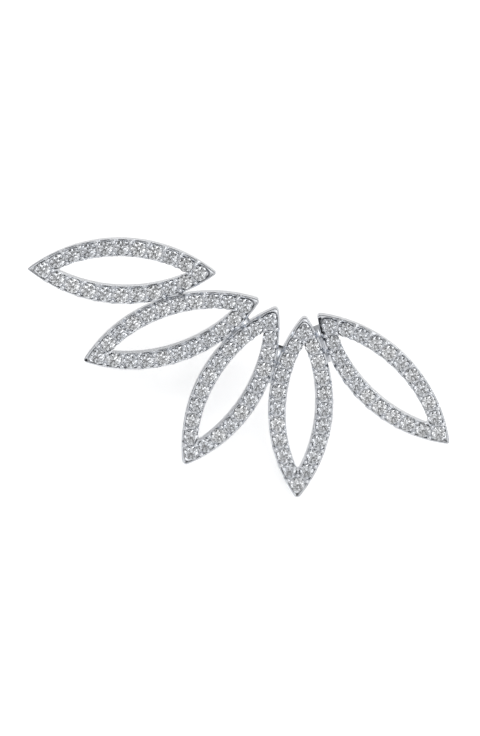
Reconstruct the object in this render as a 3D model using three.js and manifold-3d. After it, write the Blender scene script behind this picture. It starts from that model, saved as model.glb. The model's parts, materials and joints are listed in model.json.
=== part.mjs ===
// Ear climber: five open marquise leaves of white metal, soldered side by side in a fan that
// climbs the ear. Every leaf is a deep channel gallery with a fused row of small round stones
// and the claws that hold them. A straight ear post stands on the back where leaves two and three
// meet. Unworn, the climber lies face up on its post end and the outer tips of leaves three and four.
// Millimetres, +Z up. The leaves are drawn in their own plane (x across, y up the ear, z out of
// the face, z = 0 on the flat back), and the whole group is then turned to lie on its three feet.

import * as THREE from 'three';
import { mergeVertices } from 'three/addons/utils/BufferGeometryUtils.js';
import Module from 'manifold-3d';

// Leaf outline: a marquise, two equal arcs that meet in a point at each end.
const LEAF_LENGTH = 12.8;
const LEAF_WIDTH = 4.41;
const OPENING_LENGTH = 8.95;
const OPENING_WIDTH = 2.01;

// Gallery: a flat-backed band with a channel cut into its face between two thin rims.
const GALLERY_DEPTH = 1.2;
const CHANNEL_DEPTH = 0.42;
const RIM_WIDTH = 0.15;
const OPENING_TIP_RADIUS = 0.12;
const CHANNEL_TIP_RADIUS = 0.3;

// Stone row: a rail that lies in the channel, with stones and claws fused to it.
const STONE_DIAMETER = 1.0;
const STONE_CROWN_HEIGHT = 0.16;
const STONE_PAVILION_DEPTH = 0.43;
const STONE_TABLE_DIAMETER = 0.56;
const STONE_FACETS = 8;
const STONES_PER_SIDE = 10;
const STONE_LINE_LENGTH = 10.5;
const STONE_LINE_WIDTH = 3.21;
const GIRDLE_HEIGHT = 1.42;
const RAIL_TOP = 1.33;
const FIT_GAP = 0.05;

// Claws: round-topped grains, one on each side of the row between two stones.
const CLAW_RADIUS = 0.2;
const CLAW_SPREAD = 0.4;
const CLAW_SHOULDER = 1.56;
const CLAW_TOP = 1.66;
const CLAW_SIDES = 6;

// Solder: a short fillet of metal where two neighbouring leaves touch.
const SOLDER_LENGTH = 1.8;
const SOLDER_WIDTH = 0.4;
const SOLDER_DEPTH = 1.05;

// Ear post: straight, with a rounded end and a clutch groove near it. It stands in the nook at the
// upper end of the solder between leaves two and three, with its root sunk into both galleries.
const POST_X = 0;
const POST_Y = 2.93;
const POST_RADIUS = 0.4;
const POST_LENGTH = 7.2;
const POST_ROOT = 0.5;
const POST_END_ROUNDING = 0.22;
const POST_SIDES = 16;
const GROOVE_DEPTH = 0.09;
const GROOVE_WIDTH = 0.36;
const GROOVE_FROM_END = 0.64;

// How finely the curves are stepped.
const SIDE_STEPS = 10;
const TIP_STEPS = 4;
const END_STEPS = 3;

// The five leaves, from the top of the ear down. x and y place the middle of the leaf, angle turns
// its long axis from the x axis, and tip is the radius that its two points are rounded to.
const LEAVES = [
  { name: '1', x: -8.14, y: 6.605, angle: -1.35, tip: 0.1 },
  { name: '2', x: -4.825, y: 2.565, angle: 19.1, tip: 0.2 },
  { name: '3', x: -0.835, y: -1.275, angle: 59.4, tip: 0.28 },
  { name: '4', x: 3.95, y: -2.745, angle: 87.7, tip: 0.28 },
  { name: '5', x: 9.585, y: -0.775, angle: 135.5, tip: 0.22 },
];
const FOOT_LEAVES = [LEAVES[2], LEAVES[3]];

const METAL = new THREE.MeshStandardMaterial({ color: 0xd6d8dc, roughness: 0.12, metalness: 1.0 });
const STONES = new THREE.MeshStandardMaterial({ color: 0xe6ecf2, roughness: 0.05, metalness: 0.1 });

const wasm = await Module();
wasm.setup();

function toSolid(geometry) {
  const bare = geometry.clone();
  bare.deleteAttribute('normal');
  bare.deleteAttribute('uv');
  const merged = mergeVertices(bare, 1e-4);
  const vertProperties = merged.attributes.position.array;
  const triVerts = new Uint32Array(merged.index.array);
  return new wasm.Manifold(new wasm.Mesh({ numProp: 3, vertProperties, triVerts }));
}

function toGeometry(solid) {
  const mesh = solid.getMesh();
  const geometry = new THREE.BufferGeometry();
  geometry.setAttribute('position', new THREE.BufferAttribute(mesh.vertProperties, 3));
  geometry.setIndex(new THREE.BufferAttribute(mesh.triVerts, 1));
  geometry.computeVertexNormals();
  return geometry;
}

function unite(solids) {
  return solids.reduce((whole, solid) => whole.add(solid));
}

// A marquise is known by the radius of its two arcs and the distance of their centres from its
// long axis. Moving its outline in or out only changes the radius.
function marquise(length, width) {
  const halfLength = length / 2;
  const halfWidth = width / 2;
  const radius = (halfLength ** 2 + halfWidth ** 2) / (2 * halfWidth);
  return { radius, centre: radius - halfWidth };
}

const LEAF = marquise(LEAF_LENGTH, LEAF_WIDTH);
const OPENING = marquise(OPENING_LENGTH, OPENING_WIDTH);
const STONE_LINE = marquise(STONE_LINE_LENGTH, STONE_LINE_WIDTH);

// Points round a marquise moved outwards by grow, with tips rounded to tipRadius.
function marquiseOutline(form, grow, tipRadius) {
  const radius = form.radius + grow;
  const tipCentre = Math.sqrt((radius - tipRadius) ** 2 - form.centre ** 2);
  const reach = Math.atan2(form.centre, tipCentre);
  const half = [];
  for (let i = 0; i < TIP_STEPS; i += 1) {
    const turn = -reach + (2 * reach * i) / TIP_STEPS;
    half.push(new THREE.Vector2(tipCentre + tipRadius * Math.cos(turn), tipRadius * Math.sin(turn)));
  }
  for (let i = 0; i < SIDE_STEPS; i += 1) {
    const turn = reach + ((Math.PI - 2 * reach) * i) / SIDE_STEPS;
    half.push(new THREE.Vector2(radius * Math.cos(turn), radius * Math.sin(turn) - form.centre));
  }
  return [...half, ...half.map((point) => point.clone().negate())];
}

// A ring between two outlines, from height low to height high.
function ringBetween(outer, inner, low, high) {
  const shape = new THREE.Shape(outer);
  shape.holes.push(new THREE.Path(inner));
  const geometry = new THREE.ExtrudeGeometry(shape, { depth: high - low, bevelEnabled: false });
  geometry.translate(0, 0, low);
  return toSolid(geometry);
}

// A turned piece on the z axis, from a profile of [radius, height] pairs.
function turned(profile, sides) {
  const points = profile.map(([radius, height]) => new THREE.Vector2(radius, height));
  const geometry = new THREE.LatheGeometry(points, sides);
  geometry.rotateX(Math.PI / 2);
  return geometry;
}

function leafMatrix(leaf) {
  const turn = new THREE.Matrix4().makeRotationZ(THREE.MathUtils.degToRad(leaf.angle));
  return turn.setPosition(leaf.x, leaf.y, 0);
}

// The gallery of one leaf, in the leaf's own axes.
function gallerySolid(leaf) {
  const band = ringBetween(
    marquiseOutline(LEAF, 0, leaf.tip),
    marquiseOutline(OPENING, 0, OPENING_TIP_RADIUS),
    0,
    GALLERY_DEPTH,
  );
  const channel = ringBetween(
    marquiseOutline(LEAF, -RIM_WIDTH, CHANNEL_TIP_RADIUS),
    marquiseOutline(OPENING, RIM_WIDTH, OPENING_TIP_RADIUS),
    GALLERY_DEPTH - CHANNEL_DEPTH,
    GALLERY_DEPTH + CHANNEL_DEPTH,
  );
  return band.subtract(channel);
}

// A place on the stone line of one leaf, and the way out of the leaf there. Step 0 is the inner
// tip and whole steps are one stone pitch apart, half of them along each arc.
function stoneLineAt(step) {
  const side = step < STONES_PER_SIDE ? 1 : -1;
  const tipTurn = Math.atan2(STONE_LINE.centre, STONE_LINE_LENGTH / 2);
  const turn = tipTurn + ((Math.PI - 2 * tipTurn) * (step % STONES_PER_SIDE)) / STONES_PER_SIDE;
  const outward = new THREE.Vector2(Math.cos(turn), Math.sin(turn)).multiplyScalar(side);
  const point = outward.clone().multiplyScalar(STONE_LINE.radius);
  point.y -= side * STONE_LINE.centre;
  return { point, outward };
}

function stoneShape() {
  const radius = STONE_DIAMETER / 2;
  return turned(
    [
      [0, -STONE_PAVILION_DEPTH],
      [radius, 0],
      [STONE_TABLE_DIAMETER / 2, STONE_CROWN_HEIGHT],
      [0, STONE_CROWN_HEIGHT],
    ],
    STONE_FACETS,
  );
}

function clawShape() {
  const foot = RAIL_TOP - FIT_GAP / 2;
  return turned([[0, foot], [CLAW_RADIUS, foot], [CLAW_RADIUS, CLAW_SHOULDER], [0, CLAW_TOP]], CLAW_SIDES);
}

function placedSolid(geometry, point, height, turn) {
  const placed = geometry.clone();
  placed.rotateZ(turn);
  placed.translate(point.x, point.y, height);
  return toSolid(placed);
}

// The stone row of one leaf, in the leaf's own axes: rail, stones and claws in one solid.
function stoneRowSolid() {
  const rail = ringBetween(
    marquiseOutline(LEAF, -RIM_WIDTH - FIT_GAP, CHANNEL_TIP_RADIUS),
    marquiseOutline(OPENING, RIM_WIDTH + FIT_GAP, OPENING_TIP_RADIUS),
    GALLERY_DEPTH - CHANNEL_DEPTH + FIT_GAP,
    RAIL_TOP,
  );
  const stone = stoneShape();
  const claw = clawShape();
  const pieces = [rail];
  for (let i = 0; i < 2 * STONES_PER_SIDE; i += 1) {
    const seat = stoneLineAt(i);
    const facetTurn = seat.outward.angle() + Math.PI / STONE_FACETS;
    pieces.push(placedSolid(stone, seat.point, GIRDLE_HEIGHT, facetTurn));

    const between = stoneLineAt(i + 0.5);
    const outer = between.point.clone().addScaledVector(between.outward, CLAW_SPREAD);
    pieces.push(placedSolid(claw, outer, 0, between.outward.angle()));

    // Just inside each tip the two arcs share one inner claw, on the long axis.
    const fromTip = i % STONES_PER_SIDE;
    if (fromTip === STONES_PER_SIDE - 1) continue;
    const inner = between.point.clone().addScaledVector(between.outward, -CLAW_SPREAD);
    if (fromTip === 0) inner.y = 0;
    pieces.push(placedSolid(claw, inner, 0, between.outward.angle()));
  }
  return unite(pieces);
}

// The fillet between a leaf and the next one down. The facing arcs are the first leaf's lower arc
// and the second leaf's upper one, so they touch on the line through the centres of those arcs.
function solderSolid(leaf, next) {
  const from = new THREE.Vector3(0, LEAF.centre, 0).applyMatrix4(leafMatrix(leaf));
  const to = new THREE.Vector3(0, -LEAF.centre, 0).applyMatrix4(leafMatrix(next));
  const middle = from.clone().add(to).multiplyScalar(0.5);
  const geometry = new THREE.BoxGeometry(SOLDER_WIDTH, SOLDER_LENGTH, SOLDER_DEPTH);
  geometry.rotateZ(Math.atan2(to.y - from.y, to.x - from.x));
  geometry.translate(middle.x, middle.y, SOLDER_DEPTH / 2);
  return toSolid(geometry);
}

// A point on the axis of the ear post, at the given height.
function postPoint(height) {
  return new THREE.Vector3(POST_X, POST_Y, height);
}

function postSolid() {
  const end = -POST_LENGTH;
  const groove = end + GROOVE_FROM_END;
  const profile = [[0, end]];
  for (let i = 0; i <= END_STEPS; i += 1) {
    const turn = (Math.PI / 2) * (i / END_STEPS);
    profile.push([
      POST_RADIUS - POST_END_ROUNDING * (1 - Math.sin(turn)),
      end + POST_END_ROUNDING * (1 - Math.cos(turn)),
    ]);
  }
  profile.push(
    [POST_RADIUS, groove],
    [POST_RADIUS - GROOVE_DEPTH, groove + GROOVE_DEPTH],
    [POST_RADIUS - GROOVE_DEPTH, groove + GROOVE_WIDTH - GROOVE_DEPTH],
    [POST_RADIUS, groove + GROOVE_WIDTH],
    [POST_RADIUS, POST_ROOT],
    [0, POST_ROOT],
  );
  return placedSolid(turned(profile, POST_SIDES), postPoint(0), 0, 0);
}

function frameSolid() {
  const galleries = LEAVES.map((leaf) => {
    const geometry = toGeometry(gallerySolid(leaf));
    return toSolid(geometry.applyMatrix4(leafMatrix(leaf)));
  });
  const solder = LEAVES.slice(1).map((next, i) => solderSolid(LEAVES[i], next));
  return unite([...galleries, ...solder, postSolid()]);
}

const frame = new THREE.Mesh(toGeometry(frameSolid()), METAL);
frame.name = 'leaf_frame';

const stoneRow = toGeometry(stoneRowSolid());
const stoneRows = LEAVES.map((leaf) => {
  const row = new THREE.Mesh(stoneRow, STONES);
  row.name = `stone_row_${leaf.name}`;
  row.position.set(leaf.x, leaf.y, 0);
  row.rotation.z = THREE.MathUtils.degToRad(leaf.angle);
  return row;
});

// Points of the frame within reach of a place: one foot's candidates for touching the ground.
function pointsNear(place, reach) {
  const corners = frame.geometry.attributes.position;
  const found = [];
  for (let i = 0; i < corners.count; i += 1) {
    const corner = new THREE.Vector3().fromBufferAttribute(corners, i);
    if (corner.distanceTo(place) < reach) found.push(corner);
  }
  return found;
}

// The way up when the frame lies on its three feet. Each pass takes the lowest point of every foot
// and lays the ground through them, until the same three points come up again.
function restingUp() {
  const places = [postPoint(-POST_LENGTH)];
  for (const leaf of FOOT_LEAVES) {
    places.push(new THREE.Vector3(-LEAF_LENGTH / 2, 0, 0).applyMatrix4(leafMatrix(leaf)));
  }
  const feet = places.map((place) => pointsNear(place, LEAF_WIDTH / 4));
  const up = new THREE.Vector3(0, 0, 1);
  for (let pass = 0; pass < 8; pass += 1) {
    const lowest = feet.map((foot) => foot.reduce((a, b) => (b.dot(up) < a.dot(up) ? b : a)));
    up.copy(new THREE.Plane().setFromCoplanarPoints(...lowest).normal);
    if (up.z < 0) up.negate();
  }
  return up;
}

// Turned so that the ground is level and the face leans towards -Y.
const upward = restingUp();
const away = new THREE.Vector3(0, 0, -1).projectOnPlane(upward).normalize();
const sideways = new THREE.Vector3().crossVectors(away, upward);
const toRow = new THREE.Matrix4().makeBasis(sideways, away, upward).transpose();

const climber = new THREE.Group();
climber.add(frame, ...stoneRows);
climber.quaternion.setFromRotationMatrix(toRow);
const box = new THREE.Box3().setFromObject(climber, true);
climber.position.set(-(box.min.x + box.max.x) / 2, -(box.min.y + box.max.y) / 2, -box.min.z);

const part = new THREE.Group();
part.add(climber);
part.updateMatrixWorld(true);

export default part;
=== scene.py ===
"""Finished look of the ear climber: polished galleries, stone seats, claws, cut stones, solder and post.

Every piece is worked out in the axes of its leaf (x along the leaf, y across it, z out of the face,
z = 0 on the flat back) and then carried to where the CAD stone row of that leaf lies. Lengths are
metres. Leaves are counted from the top of the ear down.
"""

import json

import bpy
import numpy as np
from bpy.props import FloatProperty, FloatVectorProperty, IntProperty, PointerProperty
from bpy.types import Operator, Panel, PropertyGroup
from mathutils import Matrix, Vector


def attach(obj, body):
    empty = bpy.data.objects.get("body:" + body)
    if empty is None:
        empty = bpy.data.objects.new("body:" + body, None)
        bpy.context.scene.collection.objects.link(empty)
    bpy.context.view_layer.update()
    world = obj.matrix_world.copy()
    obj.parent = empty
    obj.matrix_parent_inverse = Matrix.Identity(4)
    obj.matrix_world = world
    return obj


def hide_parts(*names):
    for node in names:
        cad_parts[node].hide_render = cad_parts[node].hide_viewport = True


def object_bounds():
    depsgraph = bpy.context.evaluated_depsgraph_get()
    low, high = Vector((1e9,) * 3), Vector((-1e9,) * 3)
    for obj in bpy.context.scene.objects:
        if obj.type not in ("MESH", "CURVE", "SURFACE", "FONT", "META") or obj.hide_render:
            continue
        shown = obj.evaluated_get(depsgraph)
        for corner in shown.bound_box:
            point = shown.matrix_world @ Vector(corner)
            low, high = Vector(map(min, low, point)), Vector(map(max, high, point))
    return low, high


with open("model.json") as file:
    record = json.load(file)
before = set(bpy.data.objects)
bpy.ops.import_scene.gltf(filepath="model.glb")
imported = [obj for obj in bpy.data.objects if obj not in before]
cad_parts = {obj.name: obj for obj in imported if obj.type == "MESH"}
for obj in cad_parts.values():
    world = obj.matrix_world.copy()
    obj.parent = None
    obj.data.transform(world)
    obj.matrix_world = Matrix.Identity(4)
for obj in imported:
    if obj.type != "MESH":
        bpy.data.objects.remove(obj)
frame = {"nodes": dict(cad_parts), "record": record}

bl_info = {
    "name": "Ear climber",
    "version": (1, 0, 0),
    "blender": (4, 5, 0),
    "location": "3D View > Sidebar > Ear climber",
    "description": "Galleries, seats, claws, cut stones and ear post of a five-leaf ear climber",
    "category": "Add Mesh",
}

CAD_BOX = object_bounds()
MM = 0.001
BODY = "root"
FRAME_NODE = "leaf_frame"
ROW_NODES = [f"stone_row_{leaf}" for leaf in range(1, 6)]
TOP_ROW = ROW_NODES[0]
MOUNTS = {mount["name"]: mount for mount in frame["record"]["mounts"]}
METAL_SLOT = "white_metal"
STONE_SLOT = "clear_stone"

# Rounding of the two points of each leaf.
TIP_RADII = [0.10 * MM, 0.20 * MM, 0.28 * MM, 0.28 * MM, 0.22 * MM]

# How much further the seats of each leaf stand back from the rim at its inner point.
TIP_GAPS = [0.08 * MM, 0.08 * MM, 0.05 * MM, 0.0, 0.08 * MM]


# ---------------------------------------------------------------- sizes and colours


def length(name, description, default):
    """A length property whose default is given in millimetres."""
    return FloatProperty(name=name, description=description, default=default * MM, unit="LENGTH", precision=5)


def colour(name, description, default):
    """A colour property."""
    return FloatVectorProperty(
        name=name, description=description, default=default, subtype="COLOR", size=3, min=0, max=1)


class GallerySizes(PropertyGroup):
    """Gallery of one open marquise leaf, the same for all five"""

    leaf_length: length("Leaf length", "Leaf from point to point, before the points are rounded", 12.79)
    leaf_width: length("Leaf width", "Leaf across its middle", 4.41)
    opening_length: length("Opening length", "Open middle of the leaf from point to point", 8.95)
    opening_width: length("Opening width", "Open middle of the leaf across", 2.01)
    opening_tip: length("Opening tip", "Rounding of the points of the open middle", 0.12)
    depth: length("Depth", "Flat back to the bottom of the U-cuts in the rims", 1.2)
    rim_width: length("Rim width", "Thickness of the thin wall on each side of the channel", 0.15)
    channel_depth: length("Channel depth", "Depth of the channel that the stone seats lie in", 0.42)
    channel_tip: length("Channel tip", "Rounding of the points of the channel", 0.3)
    shoulder_rise: length("Shoulder rise", "How far the rim climbs to each claw between two U-cuts", 0.26)
    shoulder_half: length("Shoulder half width", "Half of the flat stretch of rim under a claw", 0.15)
    # The crevice is dark from painted shade along it as well as from its drop.
    crevice_length: length("Crevice length", "Dark crevice beside the rim of the last leaf", 1.15)
    crevice_from_tip: length("Crevice from tip", "Leaf point to the near end of that crevice", 0.4)
    crevice_depth: length("Crevice depth", "How far the rim drops into it", 0.36)
    edge_round: length("Edge round", "Rounding that polishing leaves on the long edges", 0.06)


class StoneSizes(PropertyGroup):
    """Round cut stones and the line that they follow"""

    diameter: length("Diameter", "Across the girdle", 1.0)
    girdle_height: length("Girdle height", "Flat back to the girdle", 1.42)
    line_length: length("Line length", "Middle of one tip stone to the middle of the other", 10.5)
    line_width: length("Line width", "Across the stone line at the middle of the leaf", 3.21)
    per_side: IntProperty(
        name="Stones per side", description="Stone pitches along each arc of a leaf", default=10, min=2)


class ClawSizes(PropertyGroup):
    """Round-topped claws between the stones, and the seats beside them"""

    bead_radius: length("Bead radius", "Radius of the round top", 0.17)
    neck_radius: length("Neck radius", "Radius of the stem under it", 0.135)
    spread: length("Spread", "Claw to the stone line, square to it", 0.39)
    inner_spread: length("Inner spread", "The same for the claws beside the opening", 0.345)
    top: length("Top", "Flat back to the top of the claws", 1.653)
    seat_top: length("Seat top", "Flat back to the metal between two stones", 1.34)
    seat_hole: length("Seat hole", "Radius of the hole drilled under each stone", 0.25)
    seat_gap: length("Seat gap", "Hairline between the seats and the rims", 0.04)


class PostSizes(PropertyGroup):
    """Ear post and the solder between the leaves"""

    radius: length("Radius", "Radius of the post", 0.395)
    length: length("Length", "Flat back to the end of the post", 7.2)
    end_rounding: length("End rounding", "Rounding of the free end", 0.22)
    groove_depth: length("Groove depth", "Depth of the clutch groove", 0.09)
    groove_width: length("Groove width", "Width of the clutch groove", 0.36)
    groove_from_end: length("Groove from end", "Free end to the near edge of the groove", 0.64)
    root_height: length("Root height", "Flat back to the top of the solder that holds the post", 0.95)
    root_fillet: length("Root fillet", "Solder fillet where the post meets the flat back", 0.14)
    solder_length: length("Solder length", "Run of solder where two leaves touch", 2.1)
    tip_solder: length("Tip solder", "What the last two joints run on towards the inner points", 0.6)
    solder_height: length("Solder height", "Flat back to the top of the solder", 1.05)


class Finishes(PropertyGroup):
    """Colours of the metal, the stones and the floor"""

    metal: colour("Metal", "Reflection colour of the polished white metal", (0.865, 0.885, 0.92))
    # Painted shade: the dark grey that the metal goes towards in its hollows.
    painted_shade: colour("Painted shade", "Painted shade on the metal in the recesses", (0.36, 0.375, 0.40))
    stone: colour("Stone", "Colour of the clear stones", (0.88, 0.895, 0.915))
    stone_shade: colour("Stone shade", "Colour of the greyest of the clear stones", (0.76, 0.79, 0.84))
    floor: colour("Floor", "Colour of the plain floor", (0.85, 0.85, 0.85))


class Studio(PropertyGroup):
    """Light and view"""

    room: FloatProperty(name="Room", description="Brightness of the pale room", default=0.44, min=0)
    floor_glow: FloatProperty(
        name="Floor glow", description="Light from inside the floor, as the camera sees it", default=0.65,
        min=0)
    floor_bounce: FloatProperty(
        name="Floor bounce", description="Share of the floor's glow that reaches the climber",
        default=0.2, min=0, max=1, subtype="FACTOR")
    view_rise: FloatProperty(
        name="View rise", description="Angle of the view above square on to the face",
        default=np.radians(9), subtype="ANGLE")
    view_turn: FloatProperty(
        name="View turn", description="Fall of the first leaf's long axis in the view",
        default=np.radians(1.35), subtype="ANGLE")
    view_fill: FloatProperty(
        name="View fill", description="Share of the view's width that the climber takes", default=0.88,
        min=0.1, max=1, subtype="FACTOR")
    lens: FloatProperty(name="Lens", description="Focal length in millimetres", default=100, min=10)


SIZE_GROUPS = {
    "climber_gallery": GallerySizes,
    "climber_stone": StoneSizes,
    "climber_claw": ClawSizes,
    "climber_post": PostSizes,
    "climber_finish": Finishes,
    "climber_studio": Studio,
}


# ---------------------------------------------------------------- where the leaves lie


def unit(vector):
    """The vector divided by its length."""
    return vector / np.linalg.norm(vector)


FACE = -unit(np.array(MOUNTS["lobe_face"]["axis"], float))
BACK_LEVEL = float(np.dot(MOUNTS["lobe_face"]["pos_m"], FACE))
POST_AT = np.array(MOUNTS["ear_post"]["pos_m"], float)
POST_FOOT = POST_AT + FACE * (BACK_LEVEL - POST_AT @ FACE)


def cad_corners(node):
    """All corners of a CAD node."""
    mesh = frame["nodes"][node].data
    corners = np.zeros(len(mesh.vertices) * 3)
    mesh.vertices.foreach_get("co", corners)
    return corners.reshape(-1, 3)


def leaf_axes(node):
    """Middle and axes of a leaf, from its CAD stone row.

    The flat underside of the row has the outline of its rail. The two points farthest apart are
    the rail's tips: the leaf's middle is halfway between them and its long axis runs through both,
    towards the ear post.
    """
    corners = cad_corners(node)
    height = corners @ FACE
    under = corners[height < height.min() + 0.01 * MM]
    flat = under - np.outer(under @ FACE - BACK_LEVEL, FACE)
    first = flat[np.argmax(np.linalg.norm(flat - flat.mean(0), axis=1))]
    second = flat[np.argmax(np.linalg.norm(flat - first, axis=1))]
    middle = (first + second) / 2
    along = unit(second - first)
    if np.dot(POST_AT - middle, along) < 0:
        along = -along
    return middle, np.array([along, np.cross(FACE, along), FACE])


LEAF_AXES = {node: leaf_axes(node) for node in ROW_NODES}


def on_leaf(points, node):
    """Points in a leaf's own axes, carried to the row frame."""
    middle, axes = LEAF_AXES[node]
    return points @ axes + middle


# Painted shade of a small pit in the rim at the outer tip of the second leaf, with no hollow in the
# mesh: its middle, and where it starts to darken and is fully dark, as distances from there.
PAINTED_PIT = on_leaf(np.array([[-6.12 * MM, 0, 1.2 * MM]]), ROW_NODES[1])[0]
PAINTED_PIT_EDGE, PAINTED_PIT_CORE = 0.13 * MM, 0.07 * MM


# ---------------------------------------------------------------- outlines, grids and meshes

SIDE_STEPS = 300
TIP_STEPS = 14


def smooth_step(value):
    """v v (3 - 2 v), with v held between 0 and 1."""
    value = np.clip(value, 0, 1)
    return value * value * (3 - 2 * value)


def marquise(whole_length, whole_width):
    """Radius of the two arcs of a marquise, and how far their centres lie off its long axis."""
    half_length, half_width = whole_length / 2, whole_width / 2
    radius = (half_length**2 + half_width**2) / (2 * half_width)
    return radius, radius - half_width


def outline(form, grow, tip_radius):
    """Closed loop of points round a marquise moved out by grow.

    Each side is an arc of radius R + grow about a centre c beyond the long axis, and each tip is an
    arc of tip_radius that touches both sides. The second half is the first turned half round.
    """
    radius, centre = form[0] + grow, form[1]
    tip_x = np.sqrt((radius - tip_radius) ** 2 - centre**2)
    reach = np.arctan2(centre, tip_x)
    tip = np.linspace(-reach, reach, TIP_STEPS, endpoint=False)
    side = np.linspace(reach, np.pi - reach, SIDE_STEPS, endpoint=False)
    x = np.concatenate([tip_x + tip_radius * np.cos(tip), radius * np.cos(side)])
    y = np.concatenate([tip_radius * np.sin(tip), radius * np.sin(side) - centre])
    half = np.column_stack([x, y])
    return np.vstack([half, -half])


def grid_faces(rows, columns, close_rows=False):
    """Quads of a grid of points, rows by columns, in which every row closes on itself.

    With close_rows the last row also meets the first.
    """
    row = np.arange(rows if close_rows else rows - 1)[:, None]
    column = np.arange(columns)[None, :]
    next_row = (row + 1) % rows
    next_column = (column + 1) % columns
    return np.stack([
        row * columns + column,
        row * columns + next_column,
        next_row * columns + next_column,
        next_row * columns + column,
    ], axis=-1).reshape(-1, 4)


def make_piece(name, points, faces, material, smooth_angle=None, masks=None):
    """A mesh object at the origin.

    faces is a list of arrays with one row of corner numbers for each face, and masks holds named
    arrays with one value for each point.
    """
    mesh = bpy.data.meshes.new(name)
    mesh.from_pydata(points.tolist(), [], [face for group in faces for face in group.tolist()])
    mesh.materials.append(material)
    if smooth_angle is not None:
        mesh.shade_smooth()
        mesh.set_sharp_from_angle(angle=np.radians(smooth_angle))
    for mask, values in (masks or {}).items():
        attribute = mesh.attributes.new(mask, "FLOAT", "POINT")
        attribute.data.foreach_set("value", np.asarray(values, np.float32).ravel())
    piece = bpy.data.objects.new(name, mesh)
    bpy.context.scene.collection.objects.link(piece)
    return piece


def settle(piece, slot, *nodes):
    """The piece rides on the climber's one body and stands for the CAD nodes named."""
    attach(piece, BODY)
    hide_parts(*nodes)


def copies(points, faces, turns, sizes, positions):
    """One small shape repeated: turned about z, scaled, and moved, all copies as one array.

    turns and sizes hold one number for each copy and positions one row.
    """
    cosine, sine = np.cos(turns) * sizes, np.sin(turns) * sizes
    x = points[None, :, 0] * cosine[:, None] - points[None, :, 1] * sine[:, None]
    y = points[None, :, 0] * sine[:, None] + points[None, :, 1] * cosine[:, None]
    z = np.broadcast_to(points[None, :, 2], x.shape)
    moved = np.stack([x, y, z], axis=-1) + positions[:, None, :]
    shift = np.arange(len(positions)) * len(points)
    repeated = [(group[None, :, :] + shift[:, None, None]).reshape(-1, group.shape[1]) for group in faces]
    return moved.reshape(-1, 3), repeated


def turned_piece(profile, sides):
    """A shape of revolution about z, capped flat at both ends.

    profile has a (radius, height) row for each ring, from the lowest to the highest: point (i, k) is
    (r_i cos a_k, r_i sin a_k, h_i) with a_k = 2 pi k / sides.
    """
    angle = np.arange(sides) * 2 * np.pi / sides
    points = np.stack([
        profile[:, :1] * np.cos(angle),
        profile[:, :1] * np.sin(angle),
        np.repeat(profile[:, 1:], sides, axis=1),
    ], axis=-1).reshape(-1, 3)
    step = np.arange(sides)
    caps = np.array([step[::-1], (len(profile) - 1) * sides + step])
    return points, [grid_faces(len(profile), sides), caps]


# ---------------------------------------------------------------- stone line and claws


def stone_line(stone, step):
    """Points on the stone line and the way out of the leaf there.

    The line is a marquise through the stones' middles. Step 0 is the tip by the post, and whole
    steps are one stone pitch apart, half of them along each arc.
    """
    radius, centre = marquise(stone.line_length, stone.line_width)
    side = np.where(step < stone.per_side, 1.0, -1.0)
    tip_turn = np.arctan2(centre, stone.line_length / 2)
    turn = tip_turn + (np.pi - 2 * tip_turn) * (step % stone.per_side) / stone.per_side
    outward = np.stack([np.cos(turn), np.sin(turn)], axis=-1) * side[:, None]
    point = outward * radius
    point[:, 1] -= side * centre
    return point, outward


def claw_places(stone, claw):
    """Middles of all claws of one leaf: an outer and an inner one between each two stones.

    Just inside each tip the two arcs share one inner claw, on the long axis.
    """
    index = np.arange(2 * stone.per_side)
    between, outward = stone_line(stone, index + 0.5)
    outer = between + outward * claw.spread
    inner = between - outward * claw.inner_spread
    from_tip = index % stone.per_side
    inner[from_tip == 0, 1] = 0.0
    return np.vstack([outer, inner[from_tip != stone.per_side - 1]])


def nearest(points, places):
    """Distance from each point to the nearest of the places."""
    return np.linalg.norm(points[:, None, :] - places[None, :, :], axis=2).min(axis=1)


# ---------------------------------------------------------------- materials


def new_group(name, inputs, outputs):
    """An empty shader node group with named sockets, and its input and output nodes."""
    group = bpy.data.node_groups.new(name, "ShaderNodeTree")
    for label, kind in inputs:
        group.interface.new_socket(label, in_out="INPUT", socket_type=kind)
    for label, kind in outputs:
        group.interface.new_socket(label, in_out="OUTPUT", socket_type=kind)
    return group, group.nodes.new("NodeGroupInput"), group.nodes.new("NodeGroupOutput")


def add_node(tree, kind, options=None, values=None, sources=None):
    """A new shader node: options set its own choices, values its inputs, and sources feed them.

    values and sources are keyed by the name of the input, or by its number on a node whose inputs
    share one name.
    """
    node = tree.nodes.new(f"ShaderNode{kind}")
    for option, choice in (options or {}).items():
        setattr(node, option, choice)
    for socket, value in (values or {}).items():
        node.inputs[socket].default_value = value
    for socket, source in (sources or {}).items():
        tree.links.new(source, node.inputs[socket])
    return node


FLOAT, VECTOR, COLOUR = "NodeSocketFloat", "NodeSocketVector", "NodeSocketColor"

# Noise cells for each metre along x, y and z, for each of the two directions of scratches.
SCRATCHES = [(26000, 1800, 2600), (2200, 2600, 24000)]


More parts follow.
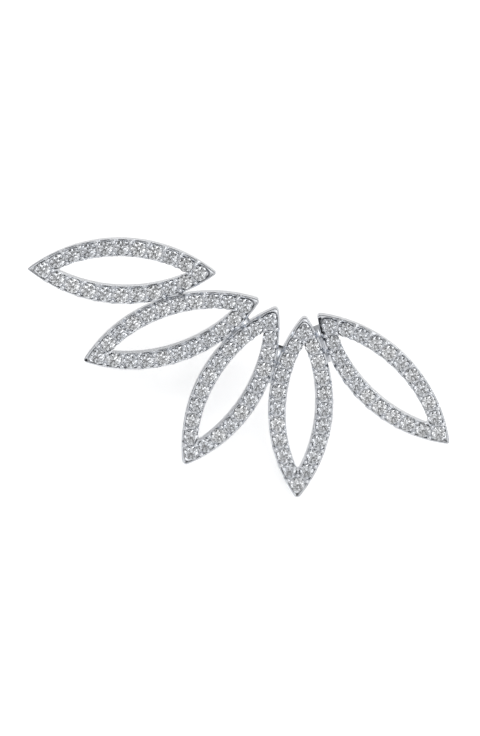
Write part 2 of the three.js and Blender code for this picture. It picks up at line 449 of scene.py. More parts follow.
def polish_group():
    """Shader node group: hand-polished metal.

    A soft cloud of haze, fine scratches in two directions, a dark grey painted in as shade where the
    shade mask is 1, and one near-black pit of painted shade about two tenths of a millimetre across
    give the colour, roughness and height.
    """
    group, given, out = new_group(
        "hand_polish",
        [("Coordinates", VECTOR), ("Painted shade", FLOAT), ("Painted pit", VECTOR), ("Bright", COLOUR),
         ("Hazed and shaded", COLOUR), ("Smooth", FLOAT), ("Rough", FLOAT)],
        [("Color", COLOUR), ("Roughness", FLOAT), ("Height", FLOAT)])
    place, painted_shade = given.outputs["Coordinates"], given.outputs["Painted shade"]

    haze = add_node(
        group, "TexNoise", values={"Scale": 1400, "Detail": 5, "Roughness": 0.6},
        sources={"Vector": place}).outputs["Fac"]
    lines = []
    for stretch in SCRATCHES:
        scaled = add_node(
            group, "Mapping", values={"Scale": stretch, "Rotation": (0.4, 0.7, 0.3)},
            sources={"Vector": place})
        noise = add_node(
            group, "TexNoise", values={"Scale": 1, "Detail": 2}, sources={"Vector": scaled.outputs["Vector"]})
        lines.append(add_node(
            group, "MapRange", values={"From Min": 0.62, "From Max": 0.75},
            sources={"Value": noise.outputs["Fac"]}).outputs["Result"])
    scratches = add_node(
        group, "Math", {"operation": "MAXIMUM"}, sources=dict(enumerate(lines))).outputs["Value"]

    # Painted shade: the colour goes towards the dark grey where the mask is 1, and a little with the haze.
    hazed_and_shaded = add_node(
        group, "Math", {"operation": "MULTIPLY_ADD", "use_clamp": True}, {1: 0.12}, {0: haze, 2: painted_shade})
    tint = add_node(group, "Mix", {"data_type": "RGBA"}, sources={
        "Factor": hazed_and_shaded.outputs["Value"], "A": given.outputs["Bright"], "B": given.outputs["Hazed and shaded"]})
    apart = add_node(
        group, "VectorMath", {"operation": "DISTANCE"}, sources={0: place, 1: given.outputs["Painted pit"]})
    # Painted shade of the pit: near black at its middle, easing out to its edge.
    pit_shade = add_node(
        group, "MapRange", {"interpolation_type": "SMOOTHSTEP"},
        {"From Min": PAINTED_PIT_EDGE, "From Max": PAINTED_PIT_CORE}, {"Value": apart.outputs["Value"]})
    pit_shaded = add_node(
        group, "Mix", {"data_type": "RGBA"}, {"B": (0.03, 0.03, 0.035, 1)},
        {"Factor": pit_shade.outputs["Result"], "A": tint.outputs["Result"]})

    worn = add_node(group, "Math", {"operation": "MULTIPLY_ADD"}, {1: 0.2}, {0: scratches, 2: haze})
    # The mask of painted shade also makes the metal rougher there.
    buried = add_node(
        group, "Math", {"operation": "ADD", "use_clamp": True},
        sources={0: worn.outputs["Value"], 1: painted_shade})
    rough = add_node(group, "Mix", sources={
        "Factor": buried.outputs["Value"], "A": given.outputs["Smooth"], "B": given.outputs["Rough"]})
    height = add_node(group, "Math", {"operation": "MULTIPLY_ADD"}, {1: -0.35}, {0: scratches, 2: haze})

    group.links.new(pit_shaded.outputs["Result"], out.inputs["Color"])
    group.links.new(rough.outputs["Result"], out.inputs["Roughness"])
    group.links.new(height.outputs["Value"], out.inputs["Height"])
    return group


def new_material(name):
    """A new material, its node tree and its Principled BSDF."""
    material = bpy.data.materials.new(name)
    material.use_nodes = True
    return material, material.node_tree, material.node_tree.nodes["Principled BSDF"]


# Finishes of the white metal: smoothest and roughest polish, depth of its marks in metres, and how far
# the painted shade in its recesses goes towards the painted shade colour.
METAL_FINISHES = {
    "polished_wall": (0.07, 0.24, 0.0022 * MM, 1.0),
    "burnished_claw": (0.05, 0.20, 0.0016 * MM, 0.05),
    "bright_seat": (0.12, 0.38, 0.0030 * MM, 0.05),
    "drawn_post": (0.09, 0.30, 0.0030 * MM, 1.0),
}


def white_metal(kind):
    """White metal in one of its finishes, kept once it is made."""
    if kind in bpy.data.materials:
        return bpy.data.materials[kind]
    finish = bpy.context.scene.climber_finish
    smooth, rough, depth, shade_strength = METAL_FINISHES[kind]
    # Colour of full painted shade in this finish.
    hazed_and_shaded = np.array(finish.metal) * (1 - shade_strength) + np.array(finish.painted_shade) * shade_strength
    material, tree, shader = new_material(kind)
    shader.inputs["Metallic"].default_value = 1.0
    coords = add_node(tree, "TexCoord")
    # The mask of painted shade, one value for each point of a piece.
    painted_shade = add_node(tree, "Attribute", {"attribute_name": "painted_shade"})
    polish = add_node(
        tree, "Group", {"node_tree": bpy.data.node_groups.get("hand_polish") or polish_group()},
        {"Painted pit": PAINTED_PIT, "Bright": (*finish.metal, 1), "Hazed and shaded": (*hazed_and_shaded, 1), "Smooth": smooth, "Rough": rough},
        {"Coordinates": coords.outputs["Object"], "Painted shade": painted_shade.outputs["Fac"]})
    bump = add_node(tree, "Bump", values={"Distance": depth}, sources={"Height": polish.outputs["Height"]})
    tree.links.new(polish.outputs["Color"], shader.inputs["Base Color"])
    tree.links.new(polish.outputs["Roughness"], shader.inputs["Roughness"])
    tree.links.new(bump.outputs["Normal"], shader.inputs["Normal"])
    return material


def clear_stone():
    """Clear cut stone: strong refraction, a little grey from stone to stone, a trace of dust."""
    finish = bpy.context.scene.climber_finish
    material, tree, shader = new_material("clear_cut_stone")
    shader.inputs["Metallic"].default_value = 0.0
    shader.inputs["IOR"].default_value = 2.15
    shader.inputs["Transmission Weight"].default_value = 1.0
    shade = add_node(tree, "Attribute", {"attribute_name": "shade"})
    tint = add_node(
        tree, "Mix", {"data_type": "RGBA"}, {"A": (*finish.stone, 1), "B": (*finish.stone_shade, 1)},
        {"Factor": shade.outputs["Fac"]})
    coords = add_node(tree, "TexCoord")
    dust = add_node(
        tree, "TexNoise", values={"Scale": 5200, "Detail": 3}, sources={"Vector": coords.outputs["Object"]})
    specks = add_node(
        tree, "MapRange", values={"From Min": 0.62, "From Max": 0.8, "To Max": 0.12},
        sources={"Value": dust.outputs["Fac"]})
    tree.links.new(tint.outputs["Result"], shader.inputs["Base Color"])
    tree.links.new(specks.outputs["Result"], shader.inputs["Roughness"])
    return material


# ---------------------------------------------------------------- galleries

# Along a rim: the run over which it climbs to a claw, the tapered ends of the crevice and the length
# of its ripples over two pi. RIPPLE is their share of its depth.
CLIMB_RUN = 0.07 * MM
CREVICE_END = 0.12 * MM
CREVICE_RIPPLE = 0.06 * MM
RIPPLE = 0.15

# Smallest rounding that a point keeps where its wall is moved out.
SHARPEST_POINT = 0.03 * MM


def edge_curve(size, steps):
    """Quarter circle that rounds an edge: (in from the wall, down from the flat) at each step."""
    turn = np.linspace(0, np.pi / 2, steps)
    return np.column_stack([1 - np.cos(turn), 1 - np.sin(turn)]) * size


def wall_section(gallery):
    """Rows round one wall of a gallery, from the flat back up over the rim and down to the channel.

    Each row is (how far in from the wall's face, height, 1 where the height climbs to the claws,
    1 in the channel, where shade is painted). The edge at the back is rounded by edge_round, and both
    edges of the rim by a third of it. A narrow strip beside each rounding keeps the tall faces flat.
    """
    top, rim = gallery.depth, gallery.rim_width
    back = edge_curve(gallery.edge_round, 4)
    crest = edge_curve(gallery.edge_round / 3, 3)
    strip = 0.5 * gallery.edge_round
    return (
        [(inward, rise, 0, 0) for inward, rise in back[::-1]]
        + [(0, gallery.edge_round + strip, 0, 0), (0, top - strip, 1, 0)]
        + [(inward, top - down, 1, 0) for inward, down in crest]
        + [(rim - inward, top - down, 1, 0) for inward, down in crest[::-1]]
        + [(rim, top - strip, 1, 0), (rim, top - gallery.channel_depth, 0, 1)]
    )


class CLIMBER_OT_galleries(Operator):
    """Build the five leaf galleries, with rims that climb to the claws between U-cuts"""

    bl_idname = "climber.galleries"
    bl_label = "Leaf galleries"

    def execute(self, context):
        scene = context.scene
        gallery = scene.climber_gallery
        claws = claw_places(scene.climber_stone, scene.climber_claw)
        metal = white_metal("polished_wall")
        for node, tip_radius in zip(ROW_NODES, TIP_RADII):
            loops, masks = gallery_loops(
                gallery, claws, scene.climber_claw.spread, tip_radius, cracked=node == ROW_NODES[-1])
            rows, columns, _ = loops.shape
            points = on_leaf(loops.reshape(-1, 3), node)
            faces = [grid_faces(rows, columns, close_rows=True)]
            piece = make_piece(
                f"gallery_{node[-1]}", points, faces, metal, smooth_angle=35, masks={"painted_shade": masks})
            settle(piece, METAL_SLOT, FRAME_NODE)
        return {"FINISHED"}


def gallery_loops(gallery, claws, spread, tip_radius, cracked):
    """Closed band of one leaf: the loops of its outline carried round its cross-section.

    A loop is a marquise moved in from the leaf's outer face, or out from the opening's face, at one
    height. The rim's height is depth + shoulder_rise * s, where s falls from 1 under a claw to 0 in
    the U-cut beside it. In a cracked leaf the channel's edge of the outer rim drops by crevice_depth
    on the y > 0 side, in a rippled run of crevice_length from crevice_from_tip on. The mask paints
    shade: full in the channel, and along the crevice as deep as the rim drops.
    """
    leaf = marquise(gallery.leaf_length, gallery.leaf_width)
    opening = marquise(gallery.opening_length, gallery.opening_width)
    band = (gallery.leaf_width - gallery.opening_width) / 2
    off_rim = band / 2 - gallery.rim_width / 2 - spread
    half_run = gallery.crevice_length / 2
    crevice_middle = gallery.leaf_length / 2 - gallery.crevice_from_tip - half_run
    section = wall_section(gallery)
    loops, masks = [], []
    for form, sign, tip in ((leaf, -1, tip_radius), (opening, 1, gallery.opening_tip)):
        wall, mask = [], []
        for inward, height, climbs, in_channel in section:
            if inward >= gallery.rim_width:
                radius = gallery.channel_tip if sign < 0 else tip
            else:
                radius = max(tip + sign * inward, SHARPEST_POINT)
            loop = outline(form, sign * inward, radius)
            level = np.full(len(loop), height)
            gap = nearest(loop, claws)
            if climbs:
                beside = np.sqrt(np.maximum(gap**2 - off_rim**2, 0))
                away = smooth_step((beside - gallery.shoulder_half) / CLIMB_RUN)
                level += gallery.shoulder_rise * (1 - away)
            # Painted shade: full in the channel, and in the crevice as far as the rim drops there.
            dark = np.full(len(loop), float(in_channel))
            if climbs and cracked and sign < 0 and inward > 0.5 * gallery.rim_width:
                off_middle = np.abs(loop[:, 0] - crevice_middle)
                ends = 1 - smooth_step((off_middle - half_run) / CREVICE_END)
                ripples = 1 - RIPPLE + RIPPLE * np.sin(loop[:, 0] / CREVICE_RIPPLE)
                dark = ends * (loop[:, 1] > 0) * ripples
                level -= gallery.crevice_depth * dark
            wall.append(np.column_stack([loop, level]))
            mask.append(dark)
        loops += wall if sign < 0 else wall[::-1]
        masks += mask if sign < 0 else mask[::-1]
    return np.array(loops), np.array(masks)


# ---------------------------------------------------------------- seats

SEAT_ROWS = 18

# Under a stone: the gap between it and its seat, the run of the drilled hole's edge, and how far
# below the stone's point the hole ends.
STONE_GAP = 0.015 * MM
HOLE_EDGE = 0.04 * MM
HOLE_BELOW = 0.06 * MM

# How far the seats fall at their edges beside the rims.
SEAT_FALL = 0.05 * MM

# Along the leaf from its middle: where the seats start to stand back from the rim, and the run over
# which they do.
TIP_GAP_START = 3.6 * MM
TIP_GAP_RUN = 0.9 * MM

# Painted shade on the seats: how far under their top it starts, the run over which it comes up to
# full, and the radius, soft edge and share of it round every claw.
SEAT_SHADE_START = 0.02 * MM
SEAT_SHADE_RUN = 0.12 * MM
CLAW_SHADE_RADIUS = 0.27 * MM
CLAW_SHADE_EDGE = 0.06 * MM
CLAW_SHADE = 0.6


def seat_height(stone, claw, distance):
    """Height of the seat metal at a distance d from the nearest stone's middle.

    Flat at seat_top between the stones, then a cone that follows the pavilion just under it, then
    the drilled hole: h = min(seat_top, girdle - PAVILION_SHARE (r - d) - STONE_GAP), and the bottom
    of the hole for d < seat_hole.
    """
    radius = stone.diameter / 2
    girdle = stone.girdle_height - GIRDLE_SHARE * radius
    cone = girdle - PAVILION_SHARE * (radius - distance) - STONE_GAP
    hole = smooth_step((claw.seat_hole - distance) / HOLE_EDGE)
    bottom = girdle - PAVILION_SHARE * radius - HOLE_BELOW
    return np.minimum(claw.seat_top, cone) * (1 - hole) + bottom * hole


def pulled_in(loop, amount):
    """A counterclockwise loop with every point moved square to it, inwards, by its own amount."""
    along = np.roll(loop, -1, axis=0) - np.roll(loop, 1, axis=0)
    along /= np.linalg.norm(along, axis=1)[:, None]
    return loop + np.column_stack([-along[:, 1], along[:, 0]]) * amount[:, None]


class CLIMBER_OT_seats(Operator):
    """Build the metal between and under the stones, with a cone-shaped seat for each stone"""

    bl_idname = "climber.seats"
    bl_label = "Stone seats"

    def execute(self, context):
        scene = context.scene
        metal = white_metal("bright_seat")
        for node, tip_gap in zip(ROW_NODES, TIP_GAPS):
            points, faces, mask = seat_band(
                scene.climber_gallery, scene.climber_stone, scene.climber_claw, tip_gap)
            piece = make_piece(
                f"seats_{node[-1]}", on_leaf(points, node), faces, metal, smooth_angle=45,
                masks={"painted_shade": mask})
            settle(piece, METAL_SLOT, node)
        return {"FINISHED"}


def seat_band(gallery, stone, claw, tip_gap):
    """Closed band of metal that fills the channel, with its mask of painted shade.

    Its loops go in equal steps from beside the outer rim to beside the inner one, each point at
    seat_height, and back underneath. Towards both edges it falls by SEAT_FALL u^6, with u from -1 to
    1 across the band. The outer loop is pulled in by tip_gap at the leaf's inner point.
    """
    leaf = marquise(gallery.leaf_length, gallery.leaf_width)
    opening = marquise(gallery.opening_length, gallery.opening_width)
    inset = gallery.rim_width + claw.seat_gap
    outer = outline(leaf, -inset, gallery.channel_tip - claw.seat_gap)
    outer = pulled_in(outer, tip_gap * smooth_step((outer[:, 0] - TIP_GAP_START) / TIP_GAP_RUN))
    inner = outline(opening, inset, gallery.opening_tip + inset)
    across = np.linspace(0, 1, SEAT_ROWS)[:, None, None]
    flat_points = (outer * (1 - across) + inner * across).reshape(-1, 2)
    places, _ = stone_line(stone, np.arange(2 * stone.per_side))
    level = seat_height(stone, claw, nearest(flat_points, places))
    fall = SEAT_FALL * np.abs(2 * across - 1) ** 6
    level -= np.broadcast_to(fall, (SEAT_ROWS, len(outer), 1)).ravel()
    top = np.column_stack([flat_points, level])
    floor = gallery.depth - gallery.channel_depth + claw.seat_gap
    under = np.vstack([np.column_stack([loop, np.full(len(loop), floor)]) for loop in (inner, outer)])
    points = np.vstack([top, under])
    # Painted shade: darker down the cones and holes under the stones, and round the foot of each claw.
    low = smooth_step((claw.seat_top - SEAT_SHADE_START - points[:, 2]) / SEAT_SHADE_RUN)
    from_claw = nearest(points[:, :2], claw_places(stone, claw))
    round_claws = CLAW_SHADE * smooth_step((CLAW_SHADE_RADIUS - from_claw) / CLAW_SHADE_EDGE)
    faces = [grid_faces(SEAT_ROWS + 2, len(outer), close_rows=True)]
    return points, faces, np.maximum(low, round_claws)


# ---------------------------------------------------------------- claws

CLAW_SIDES = 12

# Half of a claw's cross-section: its root below the bottom of the U-cuts, the end of its stem below
# the dome, the angles of the dome's rings in degrees, and its flat top as a share of the dome's radius.
CLAW_ROOT = 0.1 * MM
STEM_END = 0.04 * MM
DOME_RINGS = [-38, -8, 22, 48, 72]
DOME_FLAT = 0.08

# Painted shade on a claw, from its root up: how far it is full, and the run over which it ends.
STEM_SHADE = 0.12 * MM
STEM_SHADE_RUN = 0.22 * MM

# Hand work: how much lower a claw may stand, and the smallest share of its full thickness.
LOWEST_CLAW = 0.008 * MM
THINNEST_CLAW = 0.93


class CLIMBER_OT_claws(Operator):
    """Build the round-topped claws that hold the stones"""

    bl_idname = "climber.claws"
    bl_label = "Claws"

    def execute(self, context):
        scene = context.scene
        claw = scene.climber_claw
        bead, neck = claw.bead_radius, claw.neck_radius
        foot = scene.climber_gallery.depth - CLAW_ROOT
        turn = np.radians(DOME_RINGS)
        dome = np.column_stack([bead * np.cos(turn), claw.top - bead * (1 - np.sin(turn))])
        profile = np.vstack([
            [neck, foot],
            [neck, dome[0, 1] - STEM_END],
            dome,
            [DOME_FLAT * bead, claw.top],
        ])
        points, faces = turned_piece(profile, CLAW_SIDES)
        # Painted shade at the foot of each claw, fading out up its stem.
        low = 1 - smooth_step((points[:, 2] - foot - STEM_SHADE) / STEM_SHADE_RUN)
        metal = white_metal("burnished_claw")
        draws = np.random.default_rng(11)
        places = claw_places(scene.climber_stone, claw)
        count = len(places)
        for node in ROW_NODES:
            positions = np.column_stack([places, draws.uniform(-LOWEST_CLAW, 0, count)])
            sizes = draws.uniform(THINNEST_CLAW, 1, count)
            moved, repeated = copies(points, faces, draws.uniform(0, 1, count), sizes, positions)
            piece = make_piece(
                f"claws_{node[-1]}", on_leaf(moved, node), repeated, metal, smooth_angle=60,
                masks={"painted_shade": np.tile(low, count)})
            settle(piece, METAL_SLOT, node)
        return {"FINISHED"}


# ---------------------------------------------------------------- stones

# Proportions of the brilliant cut, as shares of the stone's radius.
TABLE_SHARE = 0.57
CROWN_SHARE = 0.32
GIRDLE_SHARE = 0.05
PAVILION_SHARE = 0.86
LOWER_SHARE = 0.25


def brilliant(diameter):
    """A round brilliant cut about z, girdle at z = 0.

    Table octagon, 8 star and 8 kite facets and 16 upper girdle facets on the crown, a thin girdle
    of 16 sides, then 16 lower girdle and 8 main facets to the culet. Heights follow from the slopes
    of crown and pavilion, so every kite is flat.
    """
    radius = diameter / 2
    table = TABLE_SHARE * radius
    crown = CROWN_SHARE * radius
    girdle = GIRDLE_SHARE * radius
    eighth = np.pi / 4
    main = np.arange(8) * eighth
    half = main + eighth / 2
    inward = np.cos(eighth / 2)
    star_radius = (table + radius) / 2 / inward
    star_height = (radius - star_radius * inward) * crown / (radius - table)
    low_radius = LOWER_SHARE * radius / inward
    low_height = -girdle - PAVILION_SHARE * (radius - low_radius * inward)

    def ring(distance, angle, height):
        """Corners at one distance from the axis and one height."""
        level = np.full(len(angle), height)
        return np.column_stack([distance * np.cos(angle), distance * np.sin(angle), level])

    rim = np.arange(16) * eighth / 2
    points = np.vstack([
        ring(table, main, crown),
        ring(star_radius, half, star_height),
        ring(radius, rim, 0.0),
        ring(radius, rim, -girdle),
        ring(low_radius, half, low_height),
        [[0.0, 0.0, -girdle - PAVILION_SHARE * radius]],
    ])
    table_at, star_at, top_at, base_at, low_at, culet = 0, 8, 16, 32, 48, 56
    k = np.arange(8)
    after, before = (k + 1) % 8, (k - 1) % 8
    even, odd, even_next = 2 * k, 2 * k + 1, (2 * k + 2) % 16
    j = np.arange(16)
    j_next = (j + 1) % 16
    return points, [
        np.array([table_at + k]),
        np.column_stack([table_at + k, star_at + k, table_at + after]),
        np.column_stack([table_at + k, star_at + before, top_at + even, star_at + k]),
        np.column_stack([star_at + k, top_at + even, top_at + odd]),
        np.column_stack([star_at + k, top_at + odd, top_at + even_next]),
        np.column_stack([top_at + j, base_at + j, base_at + j_next, top_at + j_next]),
        np.column_stack([low_at + k, base_at + odd, base_at + even]),
        np.column_stack([low_at + k, base_at + even_next, base_at + odd]),
        np.column_stack([np.full(8, culet), low_at + k, base_at + even, low_at + before]),
    ]


class CLIMBER_OT_stones(Operator):
    """Build the rows of round brilliant-cut stones"""

    bl_idname = "climber.stones"
    bl_label = "Stones"

    def execute(self, context):
        stone = context.scene.climber_stone
        clear = clear_stone()
        points, faces = brilliant(stone.diameter)
        draws = np.random.default_rng(7)
        places, _ = stone_line(stone, np.arange(2 * stone.per_side))
        count = len(places)
        positions = np.column_stack([places, np.full(count, stone.girdle_height)])
        for node in ROW_NODES:
            turns = draws.uniform(0, np.pi / 4, count)
            moved, repeated = copies(points, faces, turns, np.ones(count), positions)
            shade = np.repeat(draws.uniform(0, 1, count), len(points))
            piece = make_piece(
                f"stones_{node[-1]}", on_leaf(moved, node), repeated, clear, masks={"shade": shade})
            settle(piece, STONE_SLOT, node)
        return {"FINISHED"}


# ---------------------------------------------------------------- post and solder

POST_SIDES = 48

# Heights above the flat back, inside the metal: the widest ring of the post's fillet, and the first
# ring of the solder dome.
FILLET_END = 0.01 * MM
DOME_START = 0.03 * MM

# How far the solder runs into the walls on both sides and stands off the flat back, the share of
# its half run at which it is capped, and the powers that make its cross-section a rounded box.
SOLDER_REACH = 0.03 * MM
SOLDER_CAP = 0.999
ROUND_ACROSS, ROUND_UP = 0.7, 0.3

# Share of the full painted shade that lies in the clutch groove and on the solder.
GROOVE_SHADE = 0.5
SOLDER_SHADE = 0.15


class CLIMBER_OT_post(Operator):
    """Build the ear post with its rounded end and clutch groove"""

    bl_idname = "climber.post"
    bl_label = "Ear post"

    def execute(self, context):
        post = context.scene.climber_post
        points, faces = turned_piece(post_profile(post), POST_SIDES)
        # Painted shade in the clutch groove.
        in_groove = np.abs(points[:, 2] - groove_middle(post)) < post.groove_width / 2
        piece = make_piece(
            "ear_post", points @ LEAF_AXES[TOP_ROW][1] + POST_FOOT, faces, white_metal("drawn_post"),
            smooth_angle=40, masks={"painted_shade": GROOVE_SHADE * in_groove})
        settle(piece, METAL_SLOT, FRAME_NODE)
        return {"FINISHED"}


def groove_middle(post):
    """Height of the middle of the clutch groove."""
    return post.groove_from_end + post.groove_width / 2 - post.length


def post_profile(post):
    """(radius, height) rows of the post, from its free end to the top of its solder.

    A quarter-round end, a groove whose depth is groove_depth sqrt(sin), a straight shaft, and the
    solder: a quarter-round fillet up to the flat back and a dome inside the metal.
    """
    turn = np.radians(np.linspace(0, 90, 9))
    end = np.column_stack([
        post.radius - post.end_rounding * (1 - np.sin(turn)),
        post.end_rounding * (1 - np.cos(turn)) - post.length,
    ])
    across = np.linspace(0, 1, 13)
    groove = np.column_stack([
        post.radius - post.groove_depth * np.sqrt(np.sin(np.pi * across)),
        groove_middle(post) + post.groove_width * (across - 0.5),
    ])
    flare = np.linspace(0, np.pi / 2, 7)
    fillet = np.column_stack([
        post.radius + post.root_fillet * (1 - np.cos(flare)),
        post.root_fillet * (np.sin(flare) - 1) + FILLET_END,
    ])
    shaft = np.linspace(groove[-1, 1], fillet[0, 1], 12)[1:-1]
    rise = np.radians(np.linspace(0, 80, 7))
    dome = np.column_stack([
        post.radius * np.cos(rise),
        DOME_START + post.root_height * np.sin(rise),
    ])
    return np.vstack([end, groove, np.column_stack([np.full(len(shaft), post.radius), shaft]), fillet, dome])


class CLIMBER_OT_solder(Operator):
    """Build the solder between each leaf and the next"""

    bl_idname = "climber.solder"
    bl_label = "Solder joints"

    def execute(self, context):
        scene = context.scene
        gallery, post = scene.climber_gallery, scene.climber_post
        leaf = marquise(gallery.leaf_length, gallery.leaf_width)
        centre = leaf[1]
        metal = white_metal("polished_wall")
        for node, following in zip(ROW_NODES, ROW_NODES[1:]):
            # The faces that touch are arcs: the y < 0 side of this leaf, whose centre lies at
            # y = c, and the y > 0 side of the next, whose centre lies at y = -c.
            lower = on_leaf(np.array([[0, centre, 0]]), node)[0]
            upper = on_leaf(np.array([[0, -centre, 0]]), following)[0]
            if np.dot(LEAF_AXES[node][1][0], LEAF_AXES[following][1][0]) < 0:
                raise RuntimeError(f"{node} and {following} don't run the same way")
            across = unit(upper - lower)
            axes = np.array([across, np.cross(FACE, across), FACE])
            middle = (lower + upper) / 2
            banks = []
            for name, side in ((node, -1), (following, 1)):
                loop = outline(leaf, 0, TIP_RADII[ROW_NODES.index(name)])
                touching = loop[loop[:, 1] * side > 0]
                bank = on_leaf(np.column_stack([touching, np.zeros(len(touching))]), name)
                bank = (bank - middle) @ axes.T
                banks.append(bank[np.argsort(bank[:, 1]), :2])
            points, faces = solder_web(banks, post, post.tip_solder * (following in ROW_NODES[-2:]))
            # A little painted shade over all of the solder, in the crease between the leaves.
            piece = make_piece(
                f"solder_{node[-1]}{following[-1]}", points @ axes + middle, faces, metal,
                smooth_angle=50, masks={"painted_shade": np.full(len(points), SOLDER_SHADE)})
            settle(piece, METAL_SLOT, FRAME_NODE)
        return {"FINISHED"}


def solder_web(banks, post, beyond):
    """Web of solder that fills the narrow gap between the outer faces of two leaves.

    x runs from one leaf to the other and y along the touching faces. At each y the web reaches from
    one bank to the other and SOLDER_REACH into both. Its cross-section is a rounded box whose height
    is solder_height (1 - |u|^3), with u from -1 to 1 along the run, and nearly 0 at both ends.
    """
    rows, around = 49, 32
    run = np.linspace(-1, 1, rows)[:, None] * SOLDER_CAP
    y = run * (post.solder_length + beyond) / 2 + beyond / 2
    left, right = (np.interp(y, bank[:, 1], bank[:, 0]) + side * SOLDER_REACH
                   for bank, side in zip(banks, (-1, 1)))
    half_height = post.solder_height / 2 * (1 - np.abs(run) ** 3)
    turn = np.linspace(0, 2 * np.pi, around, endpoint=False)[None, :]
    round_x = np.sign(np.cos(turn)) * np.abs(np.cos(turn)) ** ROUND_ACROSS
    round_z = np.sign(np.sin(turn)) * np.abs(np.sin(turn)) ** ROUND_UP
    x = (left + right) / 2 + (right - left) / 2 * round_x
    z = post.solder_height / 2 + SOLDER_REACH + half_height * round_z
    points = np.stack([x, np.broadcast_to(y, x.shape), z], axis=-1).reshape(-1, 3)
    step = np.arange(around)
    caps = np.array([step, (rows - 1) * around + step[::-1]])
    return points, [grid_faces(rows, around)[:, ::-1], caps]


# ---------------------------------------------------------------- stage


def view_axes(studio):
    """Right, up and back of the view, one to a row.

    With the face's normal n and the face's own right and up, the view looks back along
    n cos(rise) + up sin(rise).
    """
    along, across = LEAF_AXES[TOP_ROW][1][:2]
    right = along * np.cos(studio.view_turn) + across * np.sin(studio.view_turn)
    face_up = np.cross(FACE, right)
    back = FACE * np.cos(studio.view_rise) + face_up * np.sin(studio.view_rise)
    return np.array([right, np.cross(back, right), back])


def heading(axes, turn, lean):
    """Unit vector lean degrees off the view's back axis, turned from its right towards its up."""
    turn, lean = np.radians(turn), np.radians(lean)
    return np.array([np.cos(turn) * np.sin(lean), np.sin(turn) * np.sin(lean), np.cos(lean)]) @ axes


def soft_spot_group():
    """Shader node group: 1 inside a round patch of sky about Axis, easing to 0 at its edge."""
    group, given, out = new_group(
        "soft_spot",
        [("Direction", VECTOR), ("Axis", VECTOR), ("Full", FLOAT), ("Edge", FLOAT)],
        [("Mask", FLOAT)])
    cosine = add_node(
        group, "VectorMath", {"operation": "DOT_PRODUCT"},
        sources={0: given.outputs["Direction"], 1: given.outputs["Axis"]})
    ease = add_node(group, "MapRange", {"interpolation_type": "SMOOTHSTEP"}, sources={
        "Value": cosine.outputs["Value"], "From Min": given.outputs["Edge"],
        "From Max": given.outputs["Full"]})
    group.links.new(ease.outputs["Result"], out.inputs["Mask"])
    return group


# The room round the climber, each patch over those before it: turn and lean in the view's axes,
# radius of the full patch and of its edge, all in degrees, and brightness. First a bright belt round
# a dimmer middle, then dark screens, soft boxes, a card that the flats mirror, and the dark opening
# that the view looks through.
SKY = [
    (0, 0, 50, 58, 0.95),
    (0, 0, 30, 36, 0.6),
    (9, 97, 16, 24, 0.03),
    (77, 85, 16, 24, 0.03),
    (-59, 50, 10, 14, 0.03),
    (-175, 37, 10, 14, 0.03),
    (130, 47, 8, 12, 0.03),
    (38, 45, 7, 11, 0.03),
    (86, 31, 13, 19, 2.0),
    (-13, 60, 14, 19, 2.4),
    (44, 91, 14, 20, 2.4),
    (7, 23, 5, 8, 2.4),
    (-120, 45, 7, 11, 2.0),
    (-90, 18, 5, 9, 1.0),
    (0, 0, 12.5, 17, 0.1),
]


def studio_world(studio):
    """Pale room with soft boxes and dark screens; the camera itself sees it as plain white."""
    world = bpy.data.worlds.new("studio")
    world.use_nodes = True
    tree = world.node_tree
    coords = add_node(tree, "TexCoord")
    group = soft_spot_group()
    axes = view_axes(studio)
    carried = None
    for turn, lean, full, edge, brightness in SKY:
        spot = add_node(tree, "Group", {"node_tree": group}, {
            "Axis": heading(axes, turn, lean), "Full": np.cos(np.radians(full)),
            "Edge": np.cos(np.radians(edge))}, {"Direction": coords.outputs["Generated"]})
        mix = add_node(
            tree, "Mix", values={"A": studio.room, "B": brightness},
            sources={"Factor": spot.outputs["Mask"]})
        if carried is not None:
            tree.links.new(carried, mix.inputs["A"])
        carried = mix.outputs["Result"]
    path = add_node(tree, "LightPath")
    seen = add_node(
        tree, "Mix", values={"B": 1.0}, sources={"Factor": path.outputs["Is Camera Ray"], "A": carried})
    tree.links.new(seen.outputs["Result"], tree.nodes["Background"].inputs["Color"])
    return world


# Half of the floor's width in metres, and the proportions of the picture.
FLOOR_REACH = 1.5
PICTURE_WIDTH, PICTURE_HEIGHT = 480, 736


class CLIMBER_OT_stage(Operator):
    """Lay the pale floor, the soft studio light and the camera"""

    bl_idname = "climber.stage"
    bl_label = "Stage"

    def execute(self, context):
        scene = context.scene
        studio = scene.climber_studio
        material, tree, shader = new_material("pale_floor")
        floor_colour = np.array(scene.climber_finish.floor)
        shader.inputs["Base Color"].default_value = (*floor_colour, 1)
        shader.inputs["Roughness"].default_value = 0.2
        shader.inputs["Emission Strength"].default_value = studio.floor_glow
        path = add_node(tree, "LightPath")
        glow = add_node(
            tree, "Mix", {"data_type": "RGBA"},
            {"A": (*(floor_colour * studio.floor_bounce), 1), "B": (*floor_colour, 1)},
            {"Factor": path.outputs["Is Camera Ray"]})
        tree.links.new(glow.outputs["Result"], shader.inputs["Emission Color"])
        corners = np.array([[-1, -1, 0], [1, -1, 0], [1, 1, 0], [-1, 1, 0]]) * FLOOR_REACH
        corners[:, 2] = CAD_BOX[0][2]
        make_piece("floor", corners, [np.array([[0, 1, 2, 3]])], material)
        scene.world = studio_world(studio)
        scene.view_settings.view_transform = "Standard"
        scene.camera = face_camera(studio)
        return {"FINISHED"}


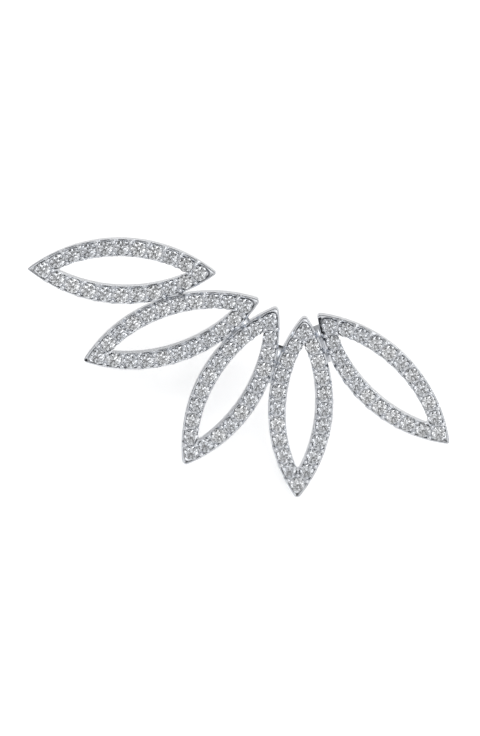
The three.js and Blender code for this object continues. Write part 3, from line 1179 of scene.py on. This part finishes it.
def face_camera(studio):
    """Camera along the view's back axis, aimed at the middle of what it sees.

    It stands where the climber's width takes view_fill of the picture's width.
    """
    axes = view_axes(studio)
    seen = np.vstack([cad_corners(node) for node in frame["nodes"]]) @ axes.T
    low, high = seen.min(0), seen.max(0)
    middle = np.array([(low[0] + high[0]) / 2, (low[1] + high[1]) / 2, np.median(seen[:, 2])])
    data = bpy.data.cameras.new("camera")
    data.lens = studio.lens
    data.sensor_width = 36
    data.clip_start = 0.005
    data.clip_end = 10
    width = (high[0] - low[0]) / studio.view_fill
    distance = data.lens * width / (data.sensor_width * PICTURE_WIDTH / PICTURE_HEIGHT)
    place = Matrix.Translation(middle @ axes + axes[2] * distance)
    camera = bpy.data.objects.new("camera", data)
    camera.matrix_world = place @ Matrix(axes.T.tolist()).to_4x4()
    bpy.context.scene.collection.objects.link(camera)
    return camera


# ---------------------------------------------------------------- panel and run

OPERATORS = [
    CLIMBER_OT_stage,
    CLIMBER_OT_galleries,
    CLIMBER_OT_solder,
    CLIMBER_OT_post,
    CLIMBER_OT_seats,
    CLIMBER_OT_claws,
    CLIMBER_OT_stones,
]


class CLIMBER_PT_panel(Panel):
    """Lists the pieces and their sizes"""

    bl_idname = "CLIMBER_PT_panel"
    bl_label = "Ear climber"
    bl_space_type = "VIEW_3D"
    bl_region_type = "UI"
    bl_category = "Ear climber"

    def draw(self, context):
        for operator in OPERATORS:
            self.layout.operator(operator.bl_idname)
        for key, group in SIZE_GROUPS.items():
            box = self.layout.box()
            box.label(text=group.__doc__)
            for name in group.__annotations__:
                box.prop(getattr(context.scene, key), name)


def register():
    """Add the sizes, the operators and the panel to Blender."""
    for group in SIZE_GROUPS.values():
        bpy.utils.register_class(group)
    for key, group in SIZE_GROUPS.items():
        setattr(bpy.types.Scene, key, PointerProperty(type=group))
    for operator in OPERATORS:
        bpy.utils.register_class(operator)
    bpy.utils.register_class(CLIMBER_PT_panel)


def unregister():
    """Take all of them away again."""
    bpy.utils.unregister_class(CLIMBER_PT_panel)
    for operator in reversed(OPERATORS):
        bpy.utils.unregister_class(operator)
    for key, group in SIZE_GROUPS.items():
        delattr(bpy.types.Scene, key)
        bpy.utils.unregister_class(group)


def main():
    """Build the climber on its stage."""
    register()
    bpy.ops.climber.stage()
    bpy.ops.climber.galleries()
    bpy.ops.climber.solder()
    bpy.ops.climber.post()
    bpy.ops.climber.seats()
    bpy.ops.climber.claws()
    bpy.ops.climber.stones()
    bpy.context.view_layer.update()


if __name__ == "__main__":
    main()
